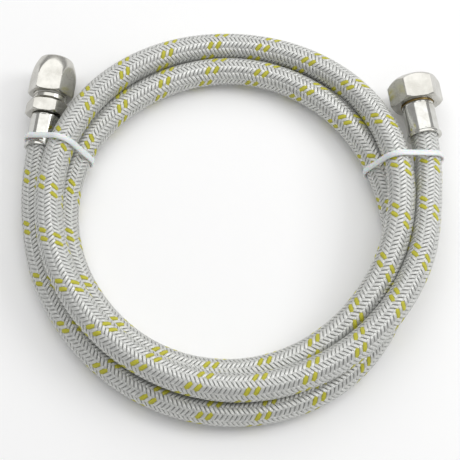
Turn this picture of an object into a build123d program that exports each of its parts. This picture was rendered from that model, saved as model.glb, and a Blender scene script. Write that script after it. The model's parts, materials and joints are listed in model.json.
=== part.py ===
from build123d import *
import math
import os

# Braided supply hose, coiled and tied, with a swivel nut end and a compression end.
# Millimetres, +Z up, resting on z = 0, origin under the centre of the bounding box.

# Driving dimensions
HOSE_D = 14.0
BRAID_THICKNESS = 0.55
LAYER_GAP = 0.05
LINER_BORE_D = 9.0
COIL_CENTRE = (-1.1, -6.17)
TIE_THICKNESS = 1.1
TIE_WIDTH = 3.0
TIE_GAP = 0.25
TIE_HEAD = 2.8

HOSE_R = HOSE_D / 2
LINER_R = HOSE_R - BRAID_THICKNESS - LAYER_GAP

# Stations of the hose's centreline, hand set about every 30 degrees of running angle:
# (running angle in degrees, radius from the coil's centre, height)
STATIONS = [
    (156.3, 107.1, 11.0), (165, 103.0, 10.2), (180, 98.4, 9.0), (210, 92.7, 7.4),
    (240, 91.6, 7.0), (270, 92.2, 7.0), (300, 92.1, 7.0), (330, 88.2, 7.0),
    (360, 82.2, 7.0), (390, 82.4, 9.0), (420, 87.0, 7.3), (450, 90.4, 7.0),
    (480, 89.8, 7.2), (510, 88.2, 9.0), (540, 83.5, 7.2), (570, 78.1, 7.0),
    (600, 75.1, 7.0), (630, 73.5, 7.7), (660, 73.7, 10.6), (690, 76.2, 16.5),
    (720, 82.1, 21.1), (750, 92.2, 18.9), (780, 101.7, 9.4), (810, 104.8, 7.0),
    (840, 102.9, 12.6), (870, 96.2, 20.4), (900, 89.8, 20.8), (930, 84.5, 20.2),
    (960, 82.3, 19.3), (990, 83.2, 19.0), (1020, 85.4, 20.3), (1050, 89.5, 21.1),
    (1080, 96.3, 17.9), (1095, 102.2, 14.8), (1106.3, 109.8, 13.4),
]

# The coil solid covers this part of the running angle, and the hose outside it is a tube
COIL_START = 196.0
COIL_END = 1068.0
COIL_STEP = 11.0
HULL_SIDES = 16
SOCKET_ANGLE = 1.5

# Swivel end, with distances measured along its axis from the ferrule's rim
SWIVEL_HEADING = 98.5
SWIVEL_PITCH = 1.5
SWIVEL_FERRULE_R = 8.3
SWIVEL_NUT_AF = 24.0
SWIVEL_NUT_START = 18.4
SWIVEL_NUT_LENGTH = 13.6
THREAD_MINOR_R = 9.32
NECK_R = 5.6
NUT_LIP = 2.3
NUT_RECESS_R = 8.6
NUT_FRONT_R = 11.2
NUT_RECESS_DEPTH = 1.0
FLANGE_THICKNESS = 1.5
FLANGE_GAP = 0.3
WASHER_THICKNESS = 2.0

# Compression end, measured the same way
COMPRESSION_HEADING = 82.5
COMPRESSION_PITCH = 3.0
COMPRESSION_FERRULE_R = 7.6
COLLAR_AF = 20.0
COLLAR_START = 18.2
COLLAR_LENGTH = 6.6
COMPRESSION_NUT_AF = 21.0
COMPRESSION_NUT_START = 29.8
COMPRESSION_NUT_LENGTH = 20.3
NOSE_LENGTH = 13.0
NOSE_R = 8.2
MALE_THREAD_R = 8.33
THREAD_CLEARANCE = 0.08
TUBE_SOCKET_R = 5.05
OLIVE_START = COLLAR_START + COLLAR_LENGTH + 14.2

# Both ferrules and hose tails
HOSE_END = 16.0
FERRULE_LENGTH = 17.9
FERRULE_WALL = 1.2
RIM_FLARE = 0.7
RIM_LENGTH = 1.3
TAIL_BORE_R = 3.3
TAIL_R = LINER_BORE_D / 2 - LAYER_GAP


def station_values(angle):
    """Radius and height at a running angle, on a smooth curve through the stations, above the floor."""
    last = len(STATIONS) - 1
    i = max(k for k in range(last) if STATIONS[k][0] <= angle or k == 0)
    t = (angle - STATIONS[i][0]) / (STATIONS[i + 1][0] - STATIONS[i][0])

    def slope(k, column):
        low, high = max(k - 1, 0), min(k + 1, last)
        rise = STATIONS[high][column] - STATIONS[low][column]
        return rise / (STATIONS[high][0] - STATIONS[low][0])

    values = []
    width = STATIONS[i + 1][0] - STATIONS[i][0]
    for column in (1, 2):
        start, end = STATIONS[i][column], STATIONS[i + 1][column]
        values.append(
            (2 * t**3 - 3 * t**2 + 1) * start
            + (t**3 - 2 * t**2 + t) * width * slope(i, column)
            + (3 * t**2 - 2 * t**3) * end
            + (t**3 - t**2) * width * slope(i + 1, column)
        )
    return values[0], max(values[1], HOSE_R)


def route_point(angle):
    """Point of the hose's centreline at a running angle."""
    radius, height = station_values(angle)
    turn = math.radians(angle)
    x = COIL_CENTRE[0] + radius * math.cos(turn)
    y = COIL_CENTRE[1] + radius * math.sin(turn)
    return Vector(x, y, height)


def fitting_plane(rim, heading, pitch):
    """Plane at a ferrule's rim, with +Z along the fitting away from the hose and +Y upward."""
    turn, tilt = math.radians(heading), math.radians(pitch)
    axis = Vector(math.cos(turn) * math.cos(tilt), math.sin(turn) * math.cos(tilt), math.sin(tilt))
    return Plane(origin=rim, x_dir=axis.cross(Vector(0, 0, 1)) * -1, z_dir=axis)


COMPRESSION_PLANE = fitting_plane(route_point(STATIONS[0][0]), COMPRESSION_HEADING, COMPRESSION_PITCH)
SWIVEL_PLANE = fitting_plane(route_point(STATIONS[-1][0]), SWIVEL_HEADING, SWIVEL_PITCH)


def turned(profile):
    """Solid of revolution about Z from (radius, z) points."""
    points = [(radius, 0, z) for radius, z in profile]
    face = make_face(Polyline(*points, close=True))
    return revolve(face, Axis.Z)


def placed(shape, plane):
    """Move a shape from its own axis to its place on the assembly."""
    return plane.location * shape


def hexagon(across_flats, start, length, bottom, top):
    """Hexagonal prism whose ends are turned to a cone, each end given as (radius, depth)."""
    corner = across_flats / math.sqrt(3)
    bottom_r, bottom_depth = bottom
    top_r, top_depth = top
    prism = Pos(0, 0, start) * extrude(RegularPolygon(corner, 6), length)
    limit = turned([
        (0, start), (bottom_r, start), (corner, start + bottom_depth), (corner, start + length - top_depth),
        (top_r, start + length), (0, start + length),
    ])
    return prism & limit


def barbed_tail(end):
    """Profile of a hose tail's barbs, from its tip to the given height."""
    profile = [(TAIL_BORE_R, 1.0), (TAIL_R - 0.55, 1.0)]
    barb = 2.6
    start = 1.4
    while start + barb < end - 0.5:
        profile += [(TAIL_R, start + barb - 0.3), (TAIL_R - 0.5, start + barb)]
        start += barb
    return profile + [(TAIL_R - 0.5, end)]


def make_ferrule(outer_r):
    """Crimped sleeve over the hose end, with a flared rim and an end wall on the tail."""
    inner_r = HOSE_R + LAYER_GAP
    wall_r = NECK_R + LAYER_GAP
    end = FERRULE_LENGTH
    return turned([
        (inner_r, 0), (outer_r + RIM_FLARE - 0.3, 0), (outer_r + RIM_FLARE, 0.3),
        (outer_r + RIM_FLARE, RIM_LENGTH - 0.3), (outer_r, RIM_LENGTH + 0.5), (outer_r, end - 0.8),
        (outer_r - 0.8, end), (wall_r, end), (wall_r, end - FERRULE_WALL), (inner_r, end - FERRULE_WALL),
    ])


def make_swivel_tail():
    """Brass hose tail: a shoulder in the nut's rear recess, a neck for the nut, a flange for the washer."""
    flange = SWIVEL_NUT_START + NUT_LIP + FLANGE_GAP
    flange_r = THREAD_MINOR_R - 0.4
    shoulder = FERRULE_LENGTH + 0.1
    shoulder_end = SWIVEL_NUT_START + NUT_RECESS_DEPTH - 0.15
    shoulder_r = NUT_RECESS_R - 0.4
    profile = barbed_tail(HOSE_END + 0.2)
    profile += [
        (NECK_R, HOSE_END + 0.2), (NECK_R, shoulder), (shoulder_r, shoulder), (shoulder_r, shoulder_end),
        (NECK_R, shoulder_end), (NECK_R, flange), (flange_r, flange),
        (flange_r, flange + FLANGE_THICKNESS), (TAIL_BORE_R, flange + FLANGE_THICKNESS),
    ]
    return turned(profile)


def make_swivel_washer():
    """Flat rubber sealing washer on the tail's flange."""
    start = SWIVEL_NUT_START + NUT_LIP + FLANGE_GAP + FLANGE_THICKNESS
    inner_r, outer_r = 5.0, THREAD_MINOR_R - 0.5
    end = start + WASHER_THICKNESS
    return turned([(inner_r, start), (outer_r, start), (outer_r, end), (inner_r, end)])


def make_swivel_nut():
    """Hexagonal union nut: a lip around the tail's neck, a chamber for the flange, then the thread."""
    start, length = SWIVEL_NUT_START, SWIVEL_NUT_LENGTH
    corner = SWIVEL_NUT_AF / math.sqrt(3)
    body = hexagon(SWIVEL_NUT_AF, start, length, bottom=(corner - 1.3, 1.1), top=(NUT_FRONT_R, 2.6))
    hole_r = NECK_R + THREAD_CLEARANCE
    chamber_r = THREAD_MINOR_R + 0.6
    lip = start + NUT_LIP
    chamber = lip + FLANGE_GAP + FLANGE_THICKNESS + WASHER_THICKNESS + 0.3
    end = start + length
    hollow = turned([
        (0, start - 1), (NUT_RECESS_R, start - 1), (NUT_RECESS_R, start + NUT_RECESS_DEPTH),
        (hole_r, start + NUT_RECESS_DEPTH), (hole_r, lip),
        (chamber_r, lip), (chamber_r, chamber), (THREAD_MINOR_R, chamber), (THREAD_MINOR_R, end - 0.8),
        (THREAD_MINOR_R + 0.8, end), (THREAD_MINOR_R + 0.8, end + 1), (0, end + 1),
    ])
    return body - hollow


def make_compression_body():
    """Brass body: barbed tail, hexagonal collar, male thread and the copper tube's socket."""
    collar_end = COLLAR_START + COLLAR_LENGTH
    mouth = OLIVE_START - 0.5
    corner = COLLAR_AF / math.sqrt(3)
    profile = barbed_tail(HOSE_END + 0.2)
    profile += [
        (NECK_R, HOSE_END + 0.2), (NECK_R, collar_end - 1), (MALE_THREAD_R - 1.2, collar_end - 1),
        (MALE_THREAD_R - 1.2, collar_end + 1.2), (MALE_THREAD_R, collar_end + 2.0),
        (MALE_THREAD_R, mouth - 0.8), (MALE_THREAD_R - 0.8, mouth), (TUBE_SOCKET_R + 1.9, mouth),
        (TUBE_SOCKET_R, mouth - 4.0), (TUBE_SOCKET_R, collar_end + 2.5), (TAIL_BORE_R, collar_end + 2.5),
    ]
    chamfer = (corner - 1.0, 0.7)
    collar = hexagon(COLLAR_AF, COLLAR_START, COLLAR_LENGTH, chamfer, chamfer)
    bore = Pos(0, 0, COLLAR_START - 1) * extrude(Circle(NECK_R - 0.5), COLLAR_LENGTH + 2)
    return (collar - bore) + turned(profile)


def make_olive():
    """Brass compression ring, tapered both ways."""
    start = OLIVE_START
    bore_r = TUBE_SOCKET_R + 0.05
    return turned([
        (bore_r, start), (bore_r + 0.3, start), (bore_r + 1.15, start + 2.6),
        (bore_r + 1.15, start + 3.2), (bore_r + 0.3, start + 5.8), (bore_r, start + 5.8),
    ])


def make_compression_nut():
    """Long compression nut: hexagon at the back and a rounded nose around the tube's hole."""
    start, length = COMPRESSION_NUT_START, COMPRESSION_NUT_LENGTH
    corner = COMPRESSION_NUT_AF / math.sqrt(3)
    end = start + length
    prism = Pos(0, 0, start) * extrude(RegularPolygon(corner, 6), length)
    nose_start = (corner, 0, end - NOSE_LENGTH)
    nose_middle = (NOSE_R + 2.3, 0, end - 4.9)
    nose_edge = (NOSE_R + 0.7, 0, end - 0.7)
    outline = make_face(
        Polyline((0, 0, start), (corner - 0.9, 0, start), (corner, 0, start + 0.8), nose_start)
        + ThreePointArc(nose_start, nose_middle, nose_edge)
        + Polyline(nose_edge, (NOSE_R, 0, end), (0, 0, end), (0, 0, start))
    )
    outside = prism & revolve(outline, Axis.Z)
    thread_r = MALE_THREAD_R + THREAD_CLEARANCE
    seat = OLIVE_START + 3.5
    hollow = turned([
        (0, start - 1), (thread_r, start - 1), (thread_r, seat - 1.8), (TUBE_SOCKET_R + 1.6, seat),
        (TUBE_SOCKET_R + 0.2, seat + 4.2), (TUBE_SOCKET_R + 0.2, end - 0.8),
        (TUBE_SOCKET_R + 1.0, end), (TUBE_SOCKET_R + 1.0, end + 1), (0, end + 1),
    ])
    return outside - hollow


def support_polygon(angle, running_angles):
    """Closed outline around the hose sections at one place on the ring, as a flat-sided face."""
    turn = math.radians(angle)
    outward = Vector(math.cos(turn), math.sin(turn), 0)
    centre = Vector(COIL_CENTRE[0], COIL_CENTRE[1], 0)
    strands = [station_values(a) for a in running_angles]
    lines = []
    for k in range(HULL_SIDES):
        way = 2 * math.pi * k / HULL_SIDES
        c, s = math.cos(way), math.sin(way)
        lines.append((c, s, max(radius * c + height * s for radius, height in strands) + HOSE_R))
    corners = []
    for k in range(HULL_SIDES):
        c1, s1, d1 = lines[k]
        c2, s2, d2 = lines[(k + 1) % HULL_SIDES]
        det = c1 * s2 - c2 * s1
        radius, height = (d1 * s2 - d2 * s1) / det, (c1 * d2 - c2 * d1) / det
        corners.append(centre + outward * radius + Vector(0, 0, height))
    return Face(Wire.make_polygon(corners, close=True))


def ring_segment(start, end):
    """Loft of the coil's outer shape between two angles around the ring."""
    count = math.ceil((end - start) / COIL_STEP)
    faces = []
    for k in range(count + 1):
        angle = start + (end - start) * k / count
        faces.append(support_polygon(angle, strands_between(start, end, angle)))
    return Solid.make_loft([face.outer_wire() for face in faces], ruled=True)


def strands_between(start, end, angle):
    """Running angles of the strands that cross a whole segment of the ring."""
    middle = (start + end) / 2
    turns = [n for n in range(-1, 4) if COIL_START < middle + 360 * n < COIL_END]
    return [angle + 360 * n for n in turns]


def tube_path(points):
    """Straight runs joined by arcs as large as the runs allow."""
    radii = []
    for before, corner, after in zip(points, points[1:], points[2:]):
        first, second = corner - before, after - corner
        half_turn = math.radians(first.get_angle(second)) / 2
        radii.append(0.45 * min(first.length, second.length) / math.tan(half_turn))
    print("tube arc radii:", [round(r, 1) for r in radii])
    return FilletPolyline(*points, radius=radii)


def hose_layer(path, outer_r, inner_r):
    """One layer of the hose along a path."""
    profile = Plane(origin=path @ 0, z_dir=path % 0)
    outer = sweep(profile * Circle(outer_r), path)
    inner = sweep(profile * Circle(inner_r), path)
    layer = outer - inner
    expected = math.pi * (outer_r**2 - inner_r**2) * path.length
    print("tube length", round(path.length, 1), "volume", round(layer.volume), "expected", round(expected))
    return layer


def compression_tube_points():
    """Route of the hose from inside the compression ferrule to the coil."""
    plane = COMPRESSION_PLANE
    start = plane.origin + plane.z_dir * HOSE_END
    bend = plane.origin - plane.z_dir * 9.0
    return [start, bend, route_point(173), route_point(185), route_point(COIL_START + SOCKET_ANGLE)]


def swivel_tube_points():
    """Route of the hose from the coil to inside the swivel ferrule."""
    plane = SWIVEL_PLANE
    bend = plane.origin - plane.z_dir * 9.0
    end = plane.origin + plane.z_dir * HOSE_END
    return [route_point(COIL_END - SOCKET_ANGLE), route_point(1079), route_point(1090), bend, end]


def crossing(plane, running_angle):
    """Point where the hose passes through a tie's plane, near a running angle, in the plane's own axes."""
    low, high = running_angle - 12, running_angle + 12
    side = plane.to_local_coords(route_point(low)).Z
    for _ in range(40):
        middle = (low + high) / 2
        if plane.to_local_coords(route_point(middle)).Z * side > 0:
            low = middle
        else:
            high = middle
    return plane.to_local_coords(route_point(low))


def make_tie(plane, circles):
    """Nylon strap pulled tight around a bundle, with its flat head under the outermost member."""
    def belt(extra):
        rims = [Pos(x, y) * Edge.make_circle(radius + extra) for x, y, radius in circles]
        return make_hull(rims)

    strap = belt(TIE_GAP + TIE_THICKNESS) - belt(TIE_GAP)
    band = extrude(strap, TIE_WIDTH / 2, both=True)
    inner_x, inner_y, inner_r = min(circles, key=lambda c: c[0])
    outer_x, outer_y, outer_r = max(circles, key=lambda c: c[0])
    rise = math.degrees(math.atan2(outer_y - outer_r - inner_y + inner_r, outer_x - inner_x))
    underside = Pos(outer_x, outer_y) * Rot(0, 0, rise) * Pos(0, -outer_r - TIE_GAP)
    head = underside * Pos(0, -TIE_HEAD / 2, 0) * fillet(Box(5.2, TIE_HEAD, 4.8).edges(), 0.5)
    tail = underside * Pos(3.2, -TIE_THICKNESS - 0.9, 0) * Box(1.8, 1.0, TIE_WIDTH - 0.2)
    return plane.location * (band + head + tail)


def tie_plane(x, y, heading):
    """Plane across the bundle: local X outward, local Y up."""
    turn = math.radians(heading)
    outward = Vector(math.cos(turn), math.sin(turn), 0)
    origin = (x + COIL_CENTRE[0], y + COIL_CENTRE[1], 0)
    return Plane(origin=origin, x_dir=outward, z_dir=outward.cross(Vector(0, 0, 1)))


def make_compression_tie():
    """Tie over the compression ferrule and the two strands beside it."""
    plane = tie_plane(-88.2, 43.0, 160.4)
    fitting = COMPRESSION_PLANE
    hit = plane.to_local_coords(fitting.origin)
    step = plane.to_local_coords(fitting.origin + fitting.z_dir) - hit
    on_axis = hit - step * (hit.Z / step.Z)
    circles = [(on_axis.X, on_axis.Y, COMPRESSION_FERRULE_R + 0.1)]
    for running in (513, 873):
        point = crossing(plane, running)
        circles.append((point.X, point.Y, HOSE_R + 0.15))
    return make_tie(plane, circles)


def make_swivel_tie():
    """Tie around the three strands behind the swivel ferrule."""
    plane = tie_plane(86.3, 34.0, 8.6)
    circles = []
    for running in (384, 744, 1101):
        point = crossing(plane, running)
        circles.append((point.X, point.Y, HOSE_R + 0.25))
    return make_tie(plane, circles)


def make_coil(tubes):
    """Closed solid of the coil's outer shape, with a shallow socket for each free hose end."""
    three_strands = ring_segment(COIL_START, COIL_END - 720)
    two_strands = ring_segment(COIL_END - 720, COIL_START + 360)
    coil = three_strands + two_strands
    for path in tubes:
        profile = Plane(origin=path @ 0, z_dir=path % 0)
        coil -= sweep(profile * Circle(HOSE_R), path)
    return coil


os.makedirs("parts", exist_ok=True)

compression_path = tube_path(compression_tube_points())
swivel_path = tube_path(swivel_tube_points())

parts = {
    "compression_nut": placed(make_compression_nut(), COMPRESSION_PLANE),
    "compression_olive": placed(make_olive(), COMPRESSION_PLANE),
    "compression_body": placed(make_compression_body(), COMPRESSION_PLANE),
    "compression_ferrule": placed(make_ferrule(COMPRESSION_FERRULE_R), COMPRESSION_PLANE),
    "compression_braid": hose_layer(compression_path, HOSE_R, HOSE_R - BRAID_THICKNESS),
    "compression_liner": hose_layer(compression_path, LINER_R, LINER_BORE_D / 2),
    "hose_coil": make_coil([compression_path, swivel_path]),
    "swivel_braid": hose_layer(swivel_path, HOSE_R, HOSE_R - BRAID_THICKNESS),
    "swivel_liner": hose_layer(swivel_path, LINER_R, LINER_BORE_D / 2),
    "swivel_ferrule": placed(make_ferrule(SWIVEL_FERRULE_R), SWIVEL_PLANE),
    "swivel_tail": placed(make_swivel_tail(), SWIVEL_PLANE),
    "swivel_washer": placed(make_swivel_washer(), SWIVEL_PLANE),
    "swivel_nut": placed(make_swivel_nut(), SWIVEL_PLANE),
    "compression_tie": make_compression_tie(),
    "swivel_tie": make_swivel_tie(),
}

for name, shape in parts.items():
    export_step(shape, f"parts/{name}.step")

solids = [solid for shape in parts.values() for solid in shape.solids()]
box = Compound(children=solids).bounding_box()
print("box", box.min, box.max, "centre", box.center())
for label, plane in (("swivel", SWIVEL_PLANE), ("compression", COMPRESSION_PLANE)):
    print(label, "origin", plane.origin, "axis", plane.z_dir)
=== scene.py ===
"""Looks of a coiled braided supply hose with a swivel union nut and a compression fitting."""

import json
import logging
import math
from dataclasses import dataclass
from enum import Enum

import bmesh
import bpy
import numpy as np
from mathutils import Matrix, Vector

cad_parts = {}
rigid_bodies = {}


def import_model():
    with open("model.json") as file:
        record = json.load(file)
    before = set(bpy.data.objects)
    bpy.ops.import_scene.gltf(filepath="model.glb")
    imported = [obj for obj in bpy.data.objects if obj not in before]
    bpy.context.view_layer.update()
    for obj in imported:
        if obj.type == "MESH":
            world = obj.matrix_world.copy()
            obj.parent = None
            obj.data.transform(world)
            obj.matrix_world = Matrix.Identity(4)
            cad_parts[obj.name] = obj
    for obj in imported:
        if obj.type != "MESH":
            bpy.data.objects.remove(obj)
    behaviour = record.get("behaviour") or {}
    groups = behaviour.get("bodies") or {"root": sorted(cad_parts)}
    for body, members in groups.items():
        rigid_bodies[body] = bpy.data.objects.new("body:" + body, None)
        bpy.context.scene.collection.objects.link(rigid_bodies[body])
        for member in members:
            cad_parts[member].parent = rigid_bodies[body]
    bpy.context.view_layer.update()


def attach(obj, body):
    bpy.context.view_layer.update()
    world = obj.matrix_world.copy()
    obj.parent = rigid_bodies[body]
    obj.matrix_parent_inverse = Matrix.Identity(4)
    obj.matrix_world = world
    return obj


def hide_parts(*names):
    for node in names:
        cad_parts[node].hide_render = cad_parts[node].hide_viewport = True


LOG = logging.getLogger("supply_hose")
MM = 0.001
MERGE_DISTANCE = 1e-7


class Side(Enum):
    """The two hands of the braid's carriers."""

    LEFT = -1
    RIGHT = 1


# --------------------------------------------------------------------------- shader maths


@dataclass(frozen=True)
class Value:
    """A shader socket that adds its own Math nodes when it is used in an expression."""

    shader: "Shader"
    socket: bpy.types.NodeSocket

    def _math(self, operation: str, first: "Value | float", second: "Value | float") -> "Value":
        """Add one Math node."""
        return self.shader.node("ShaderNodeMath", {"operation": operation}, {0: first, 1: second})

    def __add__(self, other: "Value | float") -> "Value":
        """Sum."""
        return self._math("ADD", self, other)

    def __radd__(self, other: float) -> "Value":
        """Sum with a number on the left."""
        return self._math("ADD", other, self)

    def __mul__(self, other: "Value | float") -> "Value":
        """Product."""
        return self._math("MULTIPLY", self, other)

    def __rmul__(self, other: float) -> "Value":
        """Product with a number on the left."""
        return self._math("MULTIPLY", other, self)

    def sine(self) -> "Value":
        """Sine of the value."""
        return self._math("SINE", self, 0.0)

    def absolute(self) -> "Value":
        """Size of the value without its sign."""
        return self._math("ABSOLUTE", self, 0.0)

    def above(self, limit: float, softness: float) -> "Value":
        """Smooth step from 0 to 1 around a limit."""
        return self.shader.node(
            "ShaderNodeMapRange",
            {"interpolation_type": "SMOOTHSTEP"},
            {"Value": self, "From Min": limit - softness, "From Max": limit + softness},
        )


class Shader:
    """A material's node tree with one Principled shader."""

    def __init__(self, name: str) -> None:
        """Make an empty material.

        Args:
            name: The material's name.
        """
        self.material = bpy.data.materials.new(name)
        self.material.use_nodes = True
        self.tree = self.material.node_tree
        self.surface = self.tree.nodes["Principled BSDF"]

    def node(
        self,
        kind: str,
        settings: dict[str, object] | None = None,
        inputs: dict[str | int, object] | None = None,
        output: str | int = 0,
    ) -> Value:
        """Add any node, with its settings first and then its sockets.

        Args:
            kind: The node's type.
            settings: Properties of the node.
            inputs: Values or links of its input sockets.
            output: Which output socket to return.

        Returns:
            The chosen output.
        """
        made = self.tree.nodes.new(kind)
        for key, value in (settings or {}).items():
            setattr(made, key, value)
        for key, value in (inputs or {}).items():
            self._feed(made.inputs[key], value)
        return Value(self, made.outputs[output])

    def _feed(self, socket: bpy.types.NodeSocket, value: object) -> None:
        """Link or set one input."""
        if isinstance(value, Value):
            self.tree.links.new(value.socket, socket)
        else:
            socket.default_value = value

    def set(self, **sockets: object) -> None:
        """Set the Principled shader's inputs, with _ for a space in their names."""
        for key, value in sockets.items():
            self._feed(self.surface.inputs[key.replace("_", " ")], value)

    def objects(self) -> Value:
        """Object coordinates, in metres."""
        return self.node("ShaderNodeTexCoord", output="Object")

    def across(self) -> Value:
        """Place across a carrier, from 0 to 1, as the piece's own UV map gives it."""
        place = self.node("ShaderNodeTexCoord", output="UV")
        return self.node("ShaderNodeSeparateXYZ", None, {0: place}, output="Y")

    def noise(self, scale: float, detail: float) -> Value:
        """Noise at a scale per metre."""
        return self.node(
            "ShaderNodeTexNoise", None,
            {"Vector": self.objects(), "Scale": scale, "Detail": detail, "Roughness": 0.55},
        )

    def blend(self, factor: Value, first: tuple, second: tuple) -> Value:
        """Mix two colours by a factor."""
        return self.node("ShaderNodeMix", {"data_type": "RGBA"}, {0: factor, 6: first, 7: second}, output=2)

    def bump(self, height: Value, distance: float, strength: float) -> None:
        """Feed the surface's normal from a height."""
        inputs = {"Height": height, "Distance": distance, "Strength": strength}
        self.set(Normal=self.node("ShaderNodeBump", None, inputs))


# --------------------------------------------------------------------------- finishes


@dataclass(frozen=True)
class PlatedBrass:
    """Bright nickel plate with faint turning marks and handling haze."""

    name: str = "nickel_plate"
    colour: tuple = (0.62, 0.61, 0.57, 1)
    shade: tuple = (0.50, 0.49, 0.45, 1)
    roughness: float = 0.16

    def build(self) -> bpy.types.Material:
        """Make the material."""
        shader = Shader(self.name)
        haze = shader.noise(140, 3.0)
        fine = shader.noise(2600, 1.0)
        shader.set(
            Base_Color=shader.blend(haze.above(0.5, 0.22), self.colour, self.shade),
            Metallic=1.0,
            Roughness=self.roughness + 0.12 * haze.above(0.5, 0.3) + 0.04 * fine,
        )
        shader.bump(fine + 2.0 * haze, 0.00002, 0.35)
        return shader.material


@dataclass(frozen=True)
class PolishedSleeve:
    """Polished stainless sleeve with long soft reflections."""

    name: str = "polished_sleeve"
    colour: tuple = (0.66, 0.66, 0.63, 1)
    shade: tuple = (0.52, 0.51, 0.47, 1)
    roughness: float = 0.11

    def build(self) -> bpy.types.Material:
        """Make the material."""
        shader = Shader(self.name)
        haze = shader.noise(200, 3.0)
        shader.set(
            Base_Color=shader.blend(haze.above(0.55, 0.25), self.colour, self.shade),
            Metallic=1.0,
            Roughness=self.roughness + 0.10 * haze,
        )
        shader.bump(haze, 0.00003, 0.3)
        return shader.material


@dataclass(frozen=True)
class MachinedBrass:
    """Turned brass, a little dulled."""

    name: str = "machined_brass"
    colour: tuple = (0.80, 0.60, 0.25, 1)
    dull: tuple = (0.55, 0.38, 0.14, 1)

    def build(self) -> bpy.types.Material:
        """Make the material."""
        shader = Shader(self.name)
        haze = shader.noise(260, 4.0)
        shader.set(
            Base_Color=shader.blend(haze.above(0.52, 0.2), self.colour, self.dull),
            Metallic=1.0,
            Roughness=0.22 + 0.18 * haze,
        )
        shader.bump(haze, 0.00004, 0.4)
        return shader.material


@dataclass(frozen=True)
class HoseRubber:
    """Black rubber with a faint grain."""

    name: str = "hose_rubber"

    def build(self) -> bpy.types.Material:
        """Make the material."""
        shader = Shader(self.name)
        grain = shader.noise(1800, 3.0)
        shader.set(
            Base_Color=shader.blend(grain, (0.030, 0.030, 0.032, 1), (0.065, 0.065, 0.068, 1)),
            Roughness=0.55 + 0.25 * grain,
        )
        shader.bump(grain, 0.00004, 0.5)
        return shader.material


@dataclass(frozen=True)
class BraidWire:
    """A flat bundle of fine wires or yarns that runs along the piece's own UV map, with painted shade in the
    grooves between the wires and lighter colour on their crowns.
    """

    name: str
    light: tuple
    dark: tuple
    metallic: float
    roughness: float
    wires: int = 7

    def build(self) -> bpy.types.Material:
        """Make the material."""
        shader = Shader(self.name)
        ridge = (shader.across() * (math.pi * self.wires)).sine().absolute()
        tone = shader.noise(620, 2.0)
        # Painted shade: the ridge darkens the colour in the grooves between the wires and lightens it on
        # their crowns; the noise adds real random tone.
        groove_shade_and_tone = (ridge * 0.55 + tone * 0.9).above(0.62, 0.5)
        shader.set(
            Base_Color=shader.blend(groove_shade_and_tone, self.dark, self.light),
            Metallic=self.metallic,
            Roughness=self.roughness + 0.16 * tone,
        )
        shader.bump(ridge, 0.00007, 0.8)
        return shader.material


@dataclass(frozen=True)
class Nylon:
    """Natural nylon, milky and slightly see-through."""

    name: str = "natural_nylon"

    def build(self) -> bpy.types.Material:
        """Make the material."""
        shader = Shader(self.name)
        cloud = shader.noise(300, 2.0)
        shader.set(
            Base_Color=shader.blend(cloud, (0.86, 0.90, 0.92, 1), (0.95, 0.97, 0.98, 1)),
            Roughness=0.28 + 0.14 * cloud,
            Alpha=0.80 + 0.08 * cloud,
            Subsurface_Weight=0.35,
            Subsurface_Scale=0.002,
            IOR=1.53,
        )
        shader.bump(cloud, 0.00004, 0.3)
        return shader.material


@dataclass(frozen=True)
class PaleFloor:
    """Plain pale floor."""

    name: str = "pale_floor"

    def build(self) -> bpy.types.Material:
        """Make the material."""
        shader = Shader(self.name)
        shader.set(Base_Color=(0.97, 0.97, 0.97, 1), Roughness=0.85, Specular_IOR_Level=0.1)
        return shader.material


# --------------------------------------------------------------------------- the hose's route


@dataclass(frozen=True)
class FittingAxis:
    """The axis of a rigid end fitting, measured from its ferrule's rim."""

    rim: Vector
    heading: float
    pitch: float

    @property
    def direction(self) -> Vector:
        """Unit vector away from the hose."""
        turn, tilt = math.radians(self.heading), math.radians(self.pitch)
        return Vector((math.cos(turn) * math.cos(tilt), math.sin(turn) * math.cos(tilt), math.sin(tilt)))

    def at(self, distance: float) -> Vector:
        """Point at a distance from the rim."""
        return self.rim + self.direction * distance

    def placement(self) -> Matrix:
        """Matrix from the fitting's own axis, along Z with Y upward, to its place."""
        z = self.direction
        x = Vector((0, 0, 1)).cross(z).normalized()
        y = z.cross(x)
        turned = Matrix((x, y, z)).transposed().to_4x4()
        return Matrix.Translation(self.rim) @ turned


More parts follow.
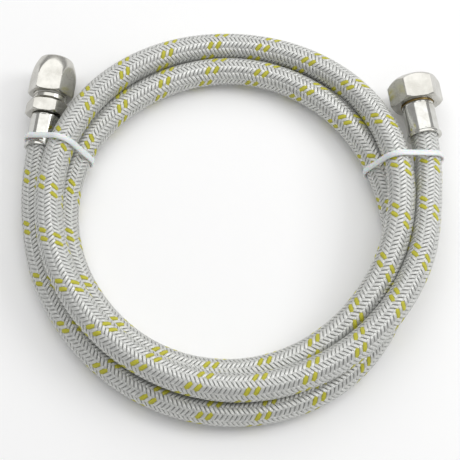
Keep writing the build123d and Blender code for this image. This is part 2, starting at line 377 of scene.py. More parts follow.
@dataclass(frozen=True)
class HoseRoute:
    """The hose's centreline: loose turns around a centre, straight into a ferrule at each end."""

    centre: tuple = (-1.1 * MM, -6.17 * MM)
    hose_radius: float = 7.0 * MM
    coil_start: float = 196.0
    coil_end: float = 1068.0
    coil_points: int = 59
    hose_end: float = 16.0 * MM
    stiff_length: float = 9.0 * MM
    lead_in: tuple = (173, 185)
    lead_out: tuple = (1079, 1090)
    compression_aim: tuple = (82.5, 3.0)
    swivel_aim: tuple = (98.5, 1.5)
    curve_steps: int = 28
    stations: tuple = (
        (156.3, 0.1071, 0.0110), (165, 0.1030, 0.0102), (180, 0.0984, 0.0090), (210, 0.0927, 0.0074),
        (240, 0.0916, 0.0070), (270, 0.0922, 0.0070), (300, 0.0921, 0.0070), (330, 0.0882, 0.0070),
        (360, 0.0822, 0.0070), (390, 0.0824, 0.0090), (420, 0.0870, 0.0073), (450, 0.0904, 0.0070),
        (480, 0.0898, 0.0072), (510, 0.0882, 0.0090), (540, 0.0835, 0.0072), (570, 0.0781, 0.0070),
        (600, 0.0751, 0.0070), (630, 0.0735, 0.0077), (660, 0.0737, 0.0106), (690, 0.0762, 0.0165),
        (720, 0.0821, 0.0211), (750, 0.0922, 0.0189), (780, 0.1017, 0.0094), (810, 0.1048, 0.0070),
        (840, 0.1029, 0.0126), (870, 0.0962, 0.0204), (900, 0.0898, 0.0208), (930, 0.0845, 0.0202),
        (960, 0.0823, 0.0193), (990, 0.0832, 0.0190), (1020, 0.0854, 0.0203), (1050, 0.0895, 0.0211),
        (1080, 0.0963, 0.0179), (1095, 0.1022, 0.0148), (1106.3, 0.1098, 0.0134),
    )

    def _slope(self, index: int, column: int) -> float:
        """Rate of change of a station's value per degree."""
        low, high = max(index - 1, 0), min(index + 1, len(self.stations) - 1)
        rise = self.stations[high][column] - self.stations[low][column]
        return rise / (self.stations[high][0] - self.stations[low][0])

    def point(self, angle: float, outward: float = 1.0) -> Vector:
        """Point at a running angle.

        Args:
            angle: Running angle in degrees.
            outward: Factor on the radius, for control points that the curve passes inside.

        Returns:
            The point, in the row frame.
        """
        i = max(k for k in range(len(self.stations) - 1) if self.stations[k][0] <= angle or k == 0)
        width = self.stations[i + 1][0] - self.stations[i][0]
        t = (angle - self.stations[i][0]) / width
        values = []
        for column in (1, 2):
            start, end = self.stations[i][column], self.stations[i + 1][column]
            values.append(
                (2 * t**3 - 3 * t**2 + 1) * start
                + (t**3 - 2 * t**2 + t) * width * self._slope(i, column)
                + (3 * t**2 - 2 * t**3) * end
                + (t**3 - t**2) * width * self._slope(i + 1, column)
            )
        radius, height = values[0] * outward, max(values[1], self.hose_radius)
        turn = math.radians(angle)
        return Vector((
            self.centre[0] + radius * math.cos(turn), self.centre[1] + radius * math.sin(turn), height
        ))

    def compression_axis(self) -> FittingAxis:
        """Axis of the compression end."""
        return FittingAxis(self.point(self.stations[0][0]), *self.compression_aim)

    def swivel_axis(self) -> FittingAxis:
        """Axis of the swivel end."""
        return FittingAxis(self.point(self.stations[-1][0]), *self.swivel_aim)

    def control_points(self) -> list[Vector]:
        """Control points from inside the compression ferrule to inside the swivel ferrule."""
        first, last = self.compression_axis(), self.swivel_axis()
        points = [first.at(self.hose_end), first.at(-self.stiff_length)]
        points += [self.point(angle) for angle in self.lead_in]
        step = (self.coil_end - self.coil_start) / (self.coil_points - 1)
        outward = 1 / math.cos(math.radians(step / 2))
        for k in range(self.coil_points):
            points.append(self.point(self.coil_start + k * step, outward))
        points += [self.point(angle) for angle in self.lead_out]
        return points + [last.at(-self.stiff_length), last.at(self.hose_end)]

    def line(self) -> np.ndarray:
        """Points along the smooth centreline, read from its NURBS spline."""
        curve = bpy.data.curves.new("hose_route", "CURVE")
        curve.dimensions = "3D"
        spline = curve.splines.new("NURBS")
        points = self.control_points()
        spline.points.add(len(points) - 1)
        for target, point in zip(spline.points, points):
            target.co = (*point, 1)
        spline.order_u = 3
        spline.use_endpoint_u = True
        spline.resolution_u = self.curve_steps
        holder = bpy.data.objects.new("hose_route", curve)
        mesh = bpy.data.meshes.new_from_object(holder)
        line = np.array([vertex.co for vertex in mesh.vertices])
        bpy.data.objects.remove(holder)
        bpy.data.curves.remove(curve)
        bpy.data.meshes.remove(mesh)
        return line


class Tube:
    """Frames along the centreline, which map (distance, angle, radius) to points in space."""

    SMOOTHING = 9

    def __init__(self, line: np.ndarray, samples: int = 4200) -> None:
        """Resample a line evenly and carry a frame along it without twist.

        Args:
            line: Points of the centreline.
            samples: How many even samples to keep.
        """
        steps = np.linalg.norm(np.diff(line, axis=0), axis=1)
        place = np.concatenate([[0], np.cumsum(steps)])
        self.length = float(place[-1])
        self.places = np.linspace(0, self.length, samples)
        self.points = np.stack([np.interp(self.places, place, line[:, k]) for k in range(3)], axis=1)
        tangents = np.gradient(self.points, axis=0)
        kernel = np.ones(self.SMOOTHING) / self.SMOOTHING
        for k in range(3):
            padded = np.pad(tangents[:, k], self.SMOOTHING // 2, mode="edge")
            tangents[:, k] = np.convolve(padded, kernel, mode="valid")
        self.tangents = tangents / np.linalg.norm(tangents, axis=1)[:, None]
        normals = np.zeros_like(self.points)
        normal = np.cross(self.tangents[0], [0.0, 0.0, 1.0])
        for k, tangent in enumerate(self.tangents):
            normal = normal - tangent * normal.dot(tangent)
            normal = normal / np.linalg.norm(normal)
            normals[k] = normal
        self.normals = normals
        self.binormals = np.cross(self.tangents, self.normals)

    def place(self, distance: np.ndarray, angle: np.ndarray, radius: np.ndarray) -> np.ndarray:
        """Points on the tube.

        Args:
            distance: Distances along the centreline.
            angle: Angles around it, in radians.
            radius: Distances from it.

        Returns:
            One row per point.
        """
        distance = np.clip(distance, 0, self.length)
        parts = []
        for field in (self.points, self.normals, self.binormals):
            parts.append(np.stack([np.interp(distance, self.places, field[:, k]) for k in range(3)], axis=1))
        centre, normal, binormal = parts
        around = np.cos(angle)[:, None] * normal + np.sin(angle)[:, None] * binormal
        return centre + around * radius[:, None]


# --------------------------------------------------------------------------- mesh helpers


def link_piece(
    name: str, mesh: bmesh.types.BMesh, material: bpy.types.Material, body: str
) -> bpy.types.Object:
    """Turn a bmesh into a finished piece.

    Args:
        name: The piece's name.
        mesh: Its geometry, in the row frame.
        material: Its finish.
        body: The CAD body that it rides on.

    Returns:
        The object.
    """
    data = bpy.data.meshes.new(name)
    mesh.to_mesh(data)
    mesh.free()
    piece = bpy.data.objects.new(name, data)
    bpy.context.scene.collection.objects.link(piece)
    data.materials.append(material)
    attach(piece, body)
    LOG.info("%s: %d faces on %s", name, len(data.polygons), body)
    return piece


def wrapped_grid(mesh: bmesh.types.BMesh, along: int, around: int) -> tuple[np.ndarray, np.ndarray]:
    """Add a grid that will be wrapped into a tube.

    Args:
        mesh: Where to add it.
        along: Faces along the tube.
        around: Faces around it.

    Returns:
        For each vertex, its place along the tube and around it, both from 0 to 1.
    """
    made = bmesh.ops.create_grid(mesh, x_segments=along, y_segments=around, size=0.5)
    flat = np.array([vertex.co[:2] for vertex in made["verts"]])
    return flat[:, 0] + 0.5, flat[:, 1] + 0.5


def move_vertices(mesh: bmesh.types.BMesh, places: np.ndarray) -> None:
    """Put each vertex of a mesh in its place, with smooth faces."""
    mesh.verts.ensure_lookup_table()
    for vertex, place in zip(mesh.verts, places):
        vertex.co = place
    for face in mesh.faces:
        face.smooth = True


def close_seams(mesh: bmesh.types.BMesh) -> None:
    """Merge a wrapped grid's seam, cap its ends and turn its faces outwards."""
    bmesh.ops.remove_doubles(mesh, verts=mesh.verts, dist=MERGE_DISTANCE)
    edges = [edge for edge in mesh.edges if edge.is_boundary]
    bmesh.ops.holes_fill(mesh, edges=edges, sides=0)
    bmesh.ops.recalc_face_normals(mesh, faces=mesh.faces)


# --------------------------------------------------------------------------- the hose


@dataclass(frozen=True)
class BraidedHose:
    """A rubber hose in a wire braid: carriers run both ways, each over two and under two."""

    outer_radius: float = 7.0 * MM
    core_radius: float = 6.25 * MM
    lay: float = 26.7 * MM
    carriers: int = 12
    ribbon_width: float = 1.82 * MM
    ribbon_thickness: float = 0.30 * MM
    wave: float = 0.17 * MM
    steps_per_lay: int = 48
    tracers: tuple = (0, 2)
    tracer_width: float = 2.3 * MM
    crossings_per_repeat: int = 4
    steepness: float = 2.2
    core_steps: int = 1100
    core_sides: int = 18
    path_stride: int = 6

    def _ribbon_section(self, width: float) -> list[tuple[float, float]]:
        """The carrier's cross-section as (across, height) from its middle, in order around it."""
        half, top = width / 2, self.ribbon_thickness / 2
        return [(-half, -top * 0.2), (-half * 0.5, top), (half * 0.5, top), (half, -top * 0.2), (0.0, -top)]

    def _carrier(
        self, mesh: bmesh.types.BMesh, tube: Tube, side: Side, index: int
    ) -> tuple[np.ndarray, np.ndarray]:
        """Add one carrier.

        Args:
            mesh: Where to add its faces.
            tube: The hose's frames.
            side: Its hand.
            index: Its number around the hose.

        Returns:
            The vertices' places, and their UV coordinates.
        """
        turns = tube.length / self.lay
        is_tracer = side is Side.LEFT and index in self.tracers
        section = self._ribbon_section(self.tracer_width if is_tracer else self.ribbon_width)
        along, ring = wrapped_grid(mesh, round(turns * self.steps_per_lay), len(section))
        middle_radius = self.outer_radius - self.wave - self.ribbon_thickness / 2
        slope = math.atan2(2 * math.pi * middle_radius, self.lay)
        number = np.rint(ring * len(section)).astype(int) % len(section)
        across = np.array([point[0] for point in section])[number]
        height = np.array([point[1] for point in section])[number]
        distance = along * tube.length
        angle = side.value * 2 * math.pi * distance / self.lay + 2 * math.pi * index / self.carriers
        crossing = 2 * index + side.value * 2 * self.carriers * distance / self.lay
        first_over = 0.5 if side is Side.LEFT else 2.5
        pattern = np.cos(2 * math.pi * (crossing - first_over) / self.crossings_per_repeat)
        lift = self.wave * np.tanh(self.steepness * pattern) / math.tanh(self.steepness)
        where = distance + across * math.sin(slope)
        turn = angle - side.value * across * math.cos(slope) / middle_radius
        places = tube.place(where, turn, middle_radius + lift + height)
        uv = np.stack([distance / self.lay, across / self.ribbon_width + 0.5], axis=1)
        return places, uv

    def carrier_piece(
        self, name: str, tube: Tube, side: Side, numbers: list[int], material: bpy.types.Material
    ) -> bpy.types.Object:
        """Make one piece from several carriers of one hand."""
        mesh = bmesh.new()
        places, uvs = [], []
        for index in numbers:
            carrier_places, carrier_uvs = self._carrier(mesh, tube, side, index)
            places.append(carrier_places)
            uvs.append(carrier_uvs)
        uvs = np.concatenate(uvs)
        move_vertices(mesh, np.concatenate(places))
        layer = mesh.loops.layers.uv.new("wires")
        for face in mesh.faces:
            for loop in face.loops:
                loop[layer].uv = uvs[loop.vert.index]
        close_seams(mesh)
        return link_piece(name, mesh, material, "hose")

    def core_piece(self, tube: Tube, material: bpy.types.Material) -> bpy.types.Object:
        """Make the rubber tube that shows between the carriers."""
        mesh = bmesh.new()
        along, around = wrapped_grid(mesh, self.core_steps, self.core_sides)
        angle = 2 * math.pi * (np.rint(around * self.core_sides) % self.core_sides) / self.core_sides
        move_vertices(mesh, tube.place(along * tube.length, angle, np.full(len(along), self.core_radius)))
        close_seams(mesh)
        return link_piece("hose_core", mesh, material, "hose")

    def build(self, route: HoseRoute) -> list[bpy.types.Object]:
        tube = Tube(route.line())
        steel = BraidWire(
            "steel_wire", light=(0.80, 0.805, 0.78, 1), dark=(0.43, 0.435, 0.42, 1),
            metallic=0.75, roughness=0.38,
        ).build()
        yellow = BraidWire(
            "yellow_yarn", light=(0.58, 0.55, 0.045, 1), dark=(0.37, 0.35, 0.02, 1),
            metallic=0.0, roughness=0.5,
        ).build()
        core = self.core_piece(tube, HoseRubber().build())
        every = list(range(self.carriers))
        plain = [k for k in every if k not in self.tracers]
        half, plain_half = len(every) // 2, len(plain) // 2
        groups = [
            ("braid_left_a", Side.LEFT, plain[:plain_half], steel, "steel_braid"),
            ("braid_left_b", Side.LEFT, plain[plain_half:], steel, "steel_braid"),
            ("braid_tracer", Side.LEFT, list(self.tracers), yellow, "yellow_tracer"),
            ("braid_right_a", Side.RIGHT, every[:half], steel, "steel_braid"),
            ("braid_right_b", Side.RIGHT, every[half:], steel, "steel_braid"),
        ]
        strands = [self.carrier_piece(name, tube, side, numbers, material)
                   for name, side, numbers, material, slot in groups]
        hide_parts("hose_coil", "compression_liner", "swivel_liner")
        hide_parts("compression_braid", "swivel_braid")
        tuple(route.compression_axis().rim)
        LOG.info("hose length %.4f m", tube.length)
        return [core, *strands]


# --------------------------------------------------------------------------- turned parts


Profile = list[tuple[float, float]]


def rounded(profile: Profile, radius: float, sides: int = 4) -> Profile:
    """Round the corners of a closed profile.

    Args:
        profile: Corners as (radius, height).
        radius: How far from a corner its curve starts, at most 0.45 of the shorter side.
        sides: Segments of each curve.

    Returns:
        The points of the rounded profile.
    """
    corners = [Vector(point) for point in profile]
    points = []
    for k, corner in enumerate(corners):
        before, after = corners[k - 1] - corner, corners[(k + 1) % len(corners)] - corner
        cut = min(radius, 0.45 * before.length, 0.45 * after.length)
        start, end = corner + before.normalized() * cut, corner + after.normalized() * cut
        for step in range(sides + 1):
            t = step / sides
            points.append(tuple(start * (1 - t) ** 2 + corner * 2 * t * (1 - t) + end * t**2))
    return points


def divided(profile: Profile, step: float) -> Profile:
    """Split a closed profile's long sides so that none is longer than a step."""
    points = []
    for k, (r, s) in enumerate(profile):
        next_r, next_s = profile[(k + 1) % len(profile)]
        parts = max(1, math.ceil(math.dist((r, s), (next_r, next_s)) / step))
        points += [(r + (next_r - r) * i / parts, s + (next_s - s) * i / parts) for i in range(parts)]
    return points


@dataclass(frozen=True)
class Flats:
    """Flat faces cut around a turned surface, with softened edges."""

    across: float
    count: int
    start: float
    end: float
    turn: float = 0.0
    softness: float = 0.10 * MM
    run_out: float = 50.0

    def cut(self, radius: np.ndarray, angle: np.ndarray, height: np.ndarray) -> np.ndarray:
        """Radii after the flats are cut."""
        share = 2 * math.pi / self.count
        from_middle = np.mod(angle - self.turn, share) - share / 2
        flat = self.across / 2 / np.cos(from_middle)
        past_ends = np.maximum(self.start - height, 0) + np.maximum(height - self.end, 0)
        flat = flat + self.run_out * past_ends
        low = np.minimum(radius, flat)
        spread = np.abs(radius - flat)
        return low - self.softness * np.log1p(np.exp(-spread / self.softness))


@dataclass(frozen=True)
class Thread:
    """A helical ridge on a cylinder, fading out at both ends."""

    radius: float
    start: float
    end: float
    pitch: float
    depth: float
    tolerance: float = 0.05 * MM

    def cut(self, radius: np.ndarray, angle: np.ndarray, height: np.ndarray) -> np.ndarray:
        """Radii after the thread is cut."""
        phase = np.mod(height / self.pitch - angle / (2 * math.pi), 1.0)
        ridge = np.abs(2 * phase - 1) - 0.5
        fade = 0.5 * self.pitch
        inside = np.clip((height - self.start) / fade, 0, 1) * np.clip((self.end - height) / fade, 0, 1)
        near = np.abs(radius - self.radius) < self.tolerance
        return radius + near * inside * ridge * self.depth


@dataclass(frozen=True)
class TurnedPart:
    """A part turned from a profile, with optional flats and thread."""

    name: str
    replaces: str
    body: str
    slot: str
    profile: Profile
    edge: float = 0.22 * MM
    step: float = 0.35 * MM
    segments: int = 144
    flats: Flats | None = None
    flats_from: float = 0.0
    thread: Thread | None = None
    sharp_angle: float = math.radians(38)

    def build(self, axis: FittingAxis, material: bpy.types.Material) -> bpy.types.Object:
        """Make the part on a fitting's axis.

        Args:
            axis: The fitting's axis.
            material: The finish.

        Returns:
            The finished piece.
        """
        mesh = bmesh.new()
        points = divided(rounded(self.profile, self.edge), self.step)
        ring = [mesh.verts.new((r, 0, s)) for r, s in points]
        edges = [mesh.edges.new((ring[k - 1], ring[k])) for k in range(len(ring))]
        bmesh.ops.spin(
            mesh, geom=ring + edges, cent=(0, 0, 0), axis=(0, 0, 1), angle=2 * math.pi,
            steps=self.segments, use_merge=True, use_duplicate=False,
        )
        places = np.array([vertex.co for vertex in mesh.verts])
        radius, angle = np.hypot(places[:, 0], places[:, 1]), np.arctan2(places[:, 1], places[:, 0])
        height = places[:, 2]
        new_radius = radius
        if self.flats:
            cut = self.flats.cut(radius, angle, height)
            new_radius = np.where(radius > self.flats_from, cut, new_radius)
        if self.thread:
            new_radius = self.thread.cut(new_radius, angle, height)
        placement = axis.placement()
        for vertex, r, a, s in zip(mesh.verts, new_radius, angle, height):
            vertex.co = placement @ Vector((r * math.cos(a), r * math.sin(a), s))
        bmesh.ops.recalc_face_normals(mesh, faces=mesh.faces)
        for face in mesh.faces:
            face.smooth = True
        piece = link_piece(self.name, mesh, material, self.body)
        piece.data.set_sharp_from_angle(angle=self.sharp_angle)
        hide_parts(self.replaces)
        return piece


@dataclass(frozen=True)
class HoseTails:
    """Shared sizes of the two hose ends: the ferrules and the barbed tails."""

    hose_end: float = 16.0 * MM
    ferrule_length: float = 17.9 * MM
    ferrule_wall: float = 1.2 * MM
    rim_flare: float = 0.7 * MM
    rim_length: float = 1.3 * MM
    hose_radius: float = 7.05 * MM
    bore_radius: float = 3.3 * MM
    barb_radius: float = 4.45 * MM
    barb_count: int = 5
    neck_radius: float = 5.6 * MM
    crimps: int = 8
    crimp_depth: float = 0.28 * MM

    def ferrule(self, name: str, node: str, outer: float) -> TurnedPart:
        """Crimped sleeve with a flared rim, flat where the crimping jaws pressed it."""
        flare, end, wall = outer + self.rim_flare, self.ferrule_length, self.neck_radius + 0.05 * MM
        profile = [
            (self.hose_radius, 0.0), (flare, 0.0), (flare, self.rim_length),
            (outer, self.rim_length + 0.5 * MM), (outer, end - 0.2 * MM), (outer - 0.8 * MM, end),
            (wall, end), (wall, end - self.ferrule_wall),
            (self.hose_radius, end - self.ferrule_wall),
        ]
        flats = Flats(
            2 * (outer - self.crimp_depth), self.crimps, self.rim_length + 1.2 * MM, end - 1.0 * MM,
            turn=math.pi / self.crimps, softness=0.05 * MM,
        )
        return TurnedPart(
            name, node, "hose", "polished_steel", profile,
            flats=flats, flats_from=self.hose_radius + 0.1 * MM,
        )

    def barbs(self) -> Profile:
        """Profile of the barbed tail, from its tip to the neck."""
        points = [(self.bore_radius, 1.0 * MM), (self.barb_radius - 0.55 * MM, 1.0 * MM)]
        for k in range(self.barb_count):
            end = (1.4 + 2.6 * (k + 1)) * MM
            points += [(self.barb_radius, end - 0.3 * MM), (self.barb_radius - 0.5 * MM, end)]
        end = self.hose_end + 0.2 * MM
        return points + [(self.barb_radius - 0.5 * MM, end), (self.neck_radius, end)]


@dataclass(frozen=True)
class SwivelEnd:
    """The union nut on its brass tail, with the sealing washer."""

    tails: HoseTails = HoseTails()
    ferrule_radius: float = 8.3 * MM
    across: float = 24.0 * MM
    nut_start: float = 18.4 * MM
    nut_length: float = 13.6 * MM
    lip: float = 2.3 * MM
    recess_radius: float = 8.6 * MM
    recess_depth: float = 1.0 * MM
    shoulder_radius: float = 8.2 * MM
    front_radius: float = 11.2 * MM
    thread_radius: float = 9.32 * MM
    pitch: float = 1.814 * MM
    gap: float = 0.3 * MM
    flange: float = 1.5 * MM
    washer: float = 2.0 * MM

    def nut(self) -> TurnedPart:
        """The hexagonal union nut."""
        start, end = self.nut_start, self.nut_start + self.nut_length
        corner, bore = self.across / math.sqrt(3), self.tails.neck_radius + 0.08 * MM
        chamber = start + self.lip + self.gap + self.flange + self.washer + self.gap
        chamber_radius, mouth_radius = self.thread_radius + 0.6 * MM, self.thread_radius + 0.9 * MM
        profile = [
            (bore, start + self.recess_depth), (self.recess_radius, start + self.recess_depth),
            (self.recess_radius, start), (corner - 1.3 * MM, start), (corner, start + 1.1 * MM),
            (corner, end - 2.6 * MM), (self.front_radius, end), (mouth_radius, end),
            (self.thread_radius, end - 0.9 * MM), (self.thread_radius, chamber), (chamber_radius, chamber),
            (chamber_radius, start + self.lip), (bore, start + self.lip),
        ]
        thread = Thread(self.thread_radius, chamber, end - 0.8 * MM, self.pitch, 0.8 * MM)
        flats = Flats(self.across, 6, start - 1 * MM, end + 1 * MM, softness=0.14 * MM)
        return TurnedPart(
            "union_nut_hexagon", "swivel_nut", "union_nut", "nickel_plate", profile,
            step=0.22 * MM, segments=240, flats=flats, flats_from=11.0 * MM, thread=thread,
        )

    def tail(self) -> TurnedPart:
        """The brass tail with its neck and flange."""
        tails, flange = self.tails, self.nut_start + self.lip + self.gap
        flange_radius = self.thread_radius - 0.4 * MM
        shoulder = tails.ferrule_length + 0.1 * MM
        shoulder_end = self.nut_start + self.recess_depth - 0.15 * MM
        profile = tails.barbs() + [
            (tails.neck_radius, shoulder), (self.shoulder_radius, shoulder),
            (self.shoulder_radius, shoulder_end), (tails.neck_radius, shoulder_end),
            (tails.neck_radius, flange), (flange_radius, flange), (flange_radius, flange + self.flange),
            (tails.bore_radius, flange + self.flange),
        ]
        return TurnedPart("swivel_brass_tail", "swivel_tail", "hose", "brass", profile, edge=0.12 * MM)

    def seal(self) -> TurnedPart:
        """The rubber washer."""
        start = self.nut_start + self.lip + self.gap + self.flange
        inner, outer, end = 5.0 * MM, self.thread_radius - 0.5 * MM, start + self.washer
        profile = [(inner, start), (outer, start), (outer, end), (inner, end)]
        return TurnedPart("sealing_washer", "swivel_washer", "hose", "rubber", profile, edge=0.3 * MM)

    def sleeve(self) -> TurnedPart:
        """The crimped sleeve."""
        return self.tails.ferrule("swivel_sleeve", "swivel_ferrule", self.ferrule_radius)


@dataclass(frozen=True)
class CompressionEnd:
    """The compression fitting: body with collar and male thread, olive and long nut."""

    tails: HoseTails = HoseTails()
    ferrule_radius: float = 7.6 * MM
    collar_across: float = 20.0 * MM
    collar_start: float = 18.2 * MM
    collar_length: float = 6.6 * MM
    thread_radius: float = 8.33 * MM
    pitch: float = 1.337 * MM
    nut_across: float = 21.0 * MM
    nut_start: float = 29.8 * MM
    nut_length: float = 20.3 * MM
    nose_radius: float = 8.2 * MM
    nose_length: float = 13.0 * MM
    nose_steps: int = 16
    nose_power: float = 1.8
    socket: float = 5.05 * MM
    olive_start: float = 39.0 * MM

    def body(self) -> TurnedPart:
        """The body, from its barbed tail to the tube socket's mouth."""
        start, end = self.collar_start, self.collar_start + self.collar_length
        corner, neck = self.collar_across / math.sqrt(3), self.tails.neck_radius
        mouth, undercut = self.olive_start - 0.5 * MM, self.thread_radius - 1.2 * MM
        profile = self.tails.barbs() + [
            (neck, start), (corner - 1.0 * MM, start), (corner, start + 0.7 * MM), (corner, end - 0.7 * MM),
            (corner - 1.0 * MM, end), (undercut, end), (undercut, end + 1.2 * MM),
            (self.thread_radius, end + 2 * MM),
            (self.thread_radius, mouth - 0.8 * MM), (self.thread_radius - 0.8 * MM, mouth),
            (self.socket + 1.9 * MM, mouth), (self.socket, mouth - 4 * MM), (self.socket, end + 2.5 * MM),
            (self.tails.bore_radius, end + 2.5 * MM),
        ]
        thread = Thread(self.thread_radius, end + 3.6 * MM, mouth - 0.8 * MM, self.pitch, 0.5 * MM)
        flats = Flats(self.collar_across, 6, start - 1 * MM, end + 0.1 * MM, softness=0.12 * MM)
        return TurnedPart(
            "compression_turned_body", "compression_body", "hose", "nickel_plate", profile,
            edge=0.15 * MM, step=0.25 * MM, segments=192, flats=flats, flats_from=8.6 * MM, thread=thread,
        )

    def nut(self) -> TurnedPart:
        """The long nut with its rounded nose."""
        start, end = self.nut_start, self.nut_start + self.nut_length
        corner, bore = self.nut_across / math.sqrt(3), self.socket + 0.2 * MM
        seat, thread = self.olive_start + 3.5 * MM, self.thread_radius + 0.08 * MM
        nose_edge, front = self.nose_radius + 0.7 * MM, end - 0.7 * MM
        nose = []
        for k in range(self.nose_steps + 1):
            share = k / self.nose_steps
            nose.append((
                corner - (corner - nose_edge) * share**self.nose_power,
                end - self.nose_length + (front - end + self.nose_length) * share,
            ))
        profile = [
            (thread, start), (corner - 0.9 * MM, start), (corner, start + 0.8 * MM), *nose,
            (self.nose_radius, end), (self.socket + 1.0 * MM, end), (bore, end - 0.8 * MM),
            (bore, seat + 4.2 * MM), (self.socket + 1.6 * MM, seat), (thread, seat - 1.8 * MM),
        ]
        flats = Flats(self.nut_across, 6, start - 1 * MM, end + 1 * MM, softness=0.14 * MM)
        return TurnedPart(
            "gland_nut_hexagon", "compression_nut", "gland_nut", "nickel_plate", profile,
            edge=0.4 * MM, step=0.25 * MM, segments=240, flats=flats, flats_from=8.8 * MM,
        )

    def olive(self) -> TurnedPart:
        """The brass ring, tapered both ways."""
        start, bore = self.olive_start, self.socket + 0.05 * MM
        shape = [(0.0, 0.0), (0.3, 0.0), (1.15, 2.6), (1.15, 3.2), (0.3, 5.8), (0.0, 5.8)]
        profile = [(bore + r * MM, start + s * MM) for r, s in shape]
        return TurnedPart("brass_olive", "compression_olive", "olive", "brass", profile, edge=0.15 * MM)

    def sleeve(self) -> TurnedPart:
        """The crimped sleeve."""
        return self.tails.ferrule("compression_sleeve", "compression_ferrule", self.ferrule_radius)


# --------------------------------------------------------------------------- ties


@dataclass(frozen=True)
class CableTie:
    """A nylon strap pulled tight around a bundle, with its flat head under the outermost member."""

    name: str
    node: str
    point: tuple
    heading: float
    strands: tuple
    gap: float
    sleeve_radius: float | None = None
    width: float = 3.0 * MM
    thickness: float = 1.1 * MM
    slack: float = 0.25 * MM
    edge_cut: float = 0.28 * MM
    head: tuple = (5.2 * MM, 2.8 * MM, 4.8 * MM)
    loop_points: int = 240
    directions: int = 720
    sharp_angle: float = math.radians(50)

    def _frame(self, route: HoseRoute) -> Matrix:
        """Matrix from the strap's plane, X outward and Y up, to the row frame."""
        turn = math.radians(self.heading)
        x, y = Vector((math.cos(turn), math.sin(turn), 0)), Vector((0, 0, 1))
        turned = Matrix((x, y, x.cross(y))).transposed().to_4x4()
        origin = Vector((self.point[0] + route.centre[0], self.point[1] + route.centre[1], 0))
        return Matrix.Translation(origin) @ turned

    def _circles(self, route: HoseRoute, to_plane: Matrix) -> list[tuple[float, float, float]]:
        """Circles in the strap's plane that it is pulled around."""
        circles = []
        if self.sleeve_radius:
            axis = route.compression_axis()
            start, end = to_plane @ axis.rim, to_plane @ axis.at(20 * MM)
            hit = start.lerp(end, -start.z / (end.z - start.z))
            circles.append((hit.x, hit.y, self.sleeve_radius + 0.1 * MM))
        for running in self.strands:
            low, high = running - 12, running + 12
            side = (to_plane @ route.point(low)).z
            for _ in range(40):
                middle = (low + high) / 2
                if (to_plane @ route.point(middle)).z * side > 0:
                    low = middle
                else:
                    high = middle
            hit = to_plane @ route.point(low)
            circles.append((hit.x, hit.y, route.hose_radius + self.gap))
        return circles

    def _loop(self, circles: list[tuple[float, float, float]], offset: float) -> np.ndarray:
        """Even points along the hull of the circles, grown by an offset."""
        points = []
        for k in range(self.directions):
            turn = 2 * math.pi * k / self.directions
            x, y, r = max(circles, key=lambda c: c[0] * math.cos(turn) + c[1] * math.sin(turn) + c[2])
            points.append((x + (r + offset) * math.cos(turn), y + (r + offset) * math.sin(turn)))
        points.append(points[0])
        points = np.array(points)
        place = np.concatenate([[0], np.cumsum(np.linalg.norm(np.diff(points, axis=0), axis=1))])
        even = np.linspace(0, place[-1], self.loop_points, endpoint=False)
        return np.stack([np.interp(even, place, points[:, k]) for k in range(2)], axis=1)

    def build(self, route: HoseRoute, material: bpy.types.Material) -> bpy.types.Object:
        """Make the strap with its head and its cut tail."""
        frame = self._frame(route)
        circles = self._circles(route, frame.inverted())
        loop = self._loop(circles, self.slack + self.thickness / 2)
        ahead = np.roll(loop, -1, axis=0) - np.roll(loop, 1, axis=0)
        outward = np.stack([ahead[:, 1], -ahead[:, 0]], axis=1) / np.linalg.norm(ahead, axis=1)[:, None]
        half_w, half_t, cut = self.width / 2, self.thickness / 2, self.edge_cut
        section = np.array([
            (half_t, half_w - cut), (half_t - cut, half_w), (-half_t + cut, half_w), (-half_t, half_w - cut),
            (-half_t, -half_w + cut), (-half_t + cut, -half_w), (half_t - cut, -half_w),
            (half_t, -half_w + cut),
        ])
        mesh = bmesh.new()
        along, around = wrapped_grid(mesh, self.loop_points, len(section))
        here = np.rint(along * self.loop_points).astype(int) % self.loop_points
        corner = np.rint(around * len(section)).astype(int) % len(section)
        flat = loop[here] + outward[here] * section[corner, 0:1]
        move_vertices(mesh, np.column_stack([flat, section[corner, 1]]))
        bmesh.ops.remove_doubles(mesh, verts=mesh.verts, dist=MERGE_DISTANCE)
        self._head(mesh, circles)
        bmesh.ops.recalc_face_normals(mesh, faces=mesh.faces)
        bmesh.ops.transform(mesh, matrix=frame, verts=mesh.verts)
        for face in mesh.faces:
            face.smooth = True
        piece = link_piece(self.name, mesh, material, "hose")
        piece.data.set_sharp_from_angle(angle=self.sharp_angle)
        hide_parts(self.node)
        return piece

    def _head(self, mesh: bmesh.types.BMesh, circles: list[tuple[float, float, float]]) -> None:
        """Add the locking head and the cut end of the strap, under the outermost circle."""
        inner_x, inner_y, inner_r = min(circles, key=lambda c: c[0])
        outer_x, outer_y, outer_r = max(circles, key=lambda c: c[0])
        rise = math.atan2(outer_y - outer_r - inner_y + inner_r, outer_x - inner_x)
        underside = Matrix.Translation((outer_x, outer_y, 0)) @ Matrix.Rotation(rise, 4, "Z")
        underside = underside @ Matrix.Translation((0, -outer_r - self.slack, 0))
        drop = -self.thickness - 0.9 * MM
        for place, size, round_off in (
            ((0, -self.head[1] / 2, 0), self.head, 0.5 * MM),
            ((3.2 * MM, drop, 0), (1.8 * MM, 1.0 * MM, self.width - 0.2 * MM), 0.2 * MM),
        ):
            made = bmesh.ops.create_cube(mesh, size=1.0)
            shape = underside @ Matrix.Translation(place) @ Matrix.Diagonal((*size, 1))
            bmesh.ops.transform(mesh, matrix=shape, verts=made["verts"])
            edges = list({edge for vertex in made["verts"] for edge in vertex.link_edges})
            bmesh.ops.bevel(
                mesh, geom=edges, affect="EDGES", offset=round_off, segments=3, profile=0.5, material=-1
            )


# --------------------------------------------------------------------------- stage


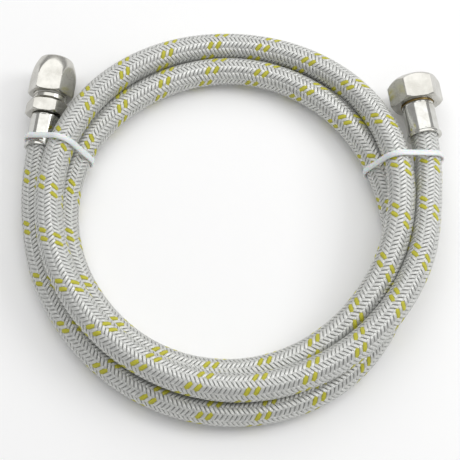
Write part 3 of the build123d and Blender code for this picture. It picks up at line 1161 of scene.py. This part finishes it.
@dataclass(frozen=True)
class Studio:
    """Floor, soft lights and camera."""

    aim: tuple = (-2.10 * MM, -6.35 * MM, 8.87 * MM)
    elevation: float = 69.0
    distance: float = 0.6253
    view_angle: float = 20.86
    floor_half: float = 3.0
    surround: float = 0.43
    lamps: tuple = (
        ("overhead", (0.10, 0.75, 1.35), 2.2, 18),
        ("key", (1.10, 0.20, 0.90), 0.6, 6),
    )

    def floor(self) -> None:
        """Add the floor."""
        mesh = bmesh.new()
        bmesh.ops.create_grid(mesh, x_segments=1, y_segments=1, size=self.floor_half)
        data = bpy.data.meshes.new("floor")
        mesh.to_mesh(data)
        mesh.free()
        floor = bpy.data.objects.new("floor", data)
        bpy.context.scene.collection.objects.link(floor)
        data.materials.append(PaleFloor().build())

    def _area(self, name: str, place: tuple, size: float, power: float) -> None:
        """Add a square soft light aimed at the middle of the coil."""
        light = bpy.data.lights.new(name, "AREA")
        light.size = size
        light.energy = power
        lamp = bpy.data.objects.new(name, light)
        lamp.location = place
        lamp.rotation_euler = (Vector((0, 0, 0)) - Vector(place)).to_track_quat("-Z", "Y").to_euler()
        bpy.context.scene.collection.objects.link(lamp)

    def lights(self) -> None:
        """Add the soft lights and an even surround."""
        world = bpy.data.worlds.new("surround")
        world.use_nodes = True
        background = world.node_tree.nodes["Background"]
        background.inputs["Color"].default_value = (1, 1, 1, 1)
        background.inputs["Strength"].default_value = self.surround
        bpy.context.scene.world = world
        for lamp in self.lamps:
            self._area(*lamp)

    def camera(self) -> None:
        """Add the camera and make it the scene's."""
        lens = bpy.data.cameras.new("camera")
        lens.sensor_fit = "HORIZONTAL"
        lens.angle = math.radians(self.view_angle)
        lens.clip_start = 0.01
        camera = bpy.data.objects.new("camera", lens)
        tilt = math.radians(self.elevation)
        away = Vector((0, -math.cos(tilt), math.sin(tilt)))
        camera.location = Vector(self.aim) + away * self.distance
        camera.rotation_euler = (-away).to_track_quat("-Z", "Y").to_euler()
        bpy.context.scene.collection.objects.link(camera)
        bpy.context.scene.camera = camera
        bpy.context.scene.view_settings.view_transform = "Standard"

    def build(self) -> None:
        """Set the whole stage."""
        self.camera()
        self.lights()
        self.floor()


def build_fittings(route: HoseRoute) -> None:
    """Make both end fittings and the ties."""
    plate, sleeve, brass = PlatedBrass().build(), PolishedSleeve().build(), MachinedBrass().build()
    rubber, nylon = HoseRubber("washer_rubber").build(), Nylon().build()
    swivel, compression = SwivelEnd(), CompressionEnd()
    for part, material in (
        (swivel.nut(), plate), (swivel.tail(), brass), (swivel.seal(), rubber), (swivel.sleeve(), sleeve),
    ):
        part.build(route.swivel_axis(), material)
    for part, material in (
        (compression.nut(), plate), (compression.body(), plate), (compression.olive(), brass),
        (compression.sleeve(), sleeve),
    ):
        part.build(route.compression_axis(), material)
    CableTie(
        "compression_strap", "compression_tie", (-88.2 * MM, 43.0 * MM), 160.4, (513, 873), 0.15 * MM,
        compression.ferrule_radius,
    ).build(route, nylon)
    CableTie(
        "swivel_strap", "swivel_tie", (86.3 * MM, 34.0 * MM), 8.6, (384, 744, 1101), 0.25 * MM,
    ).build(route, nylon)


def main() -> None:
    """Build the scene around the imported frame."""
    logging.basicConfig(level=logging.INFO)
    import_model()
    Studio().build()
    route = HoseRoute()
    BraidedHose().build(route)
    build_fittings(route)


if __name__ == "__main__":
    main()
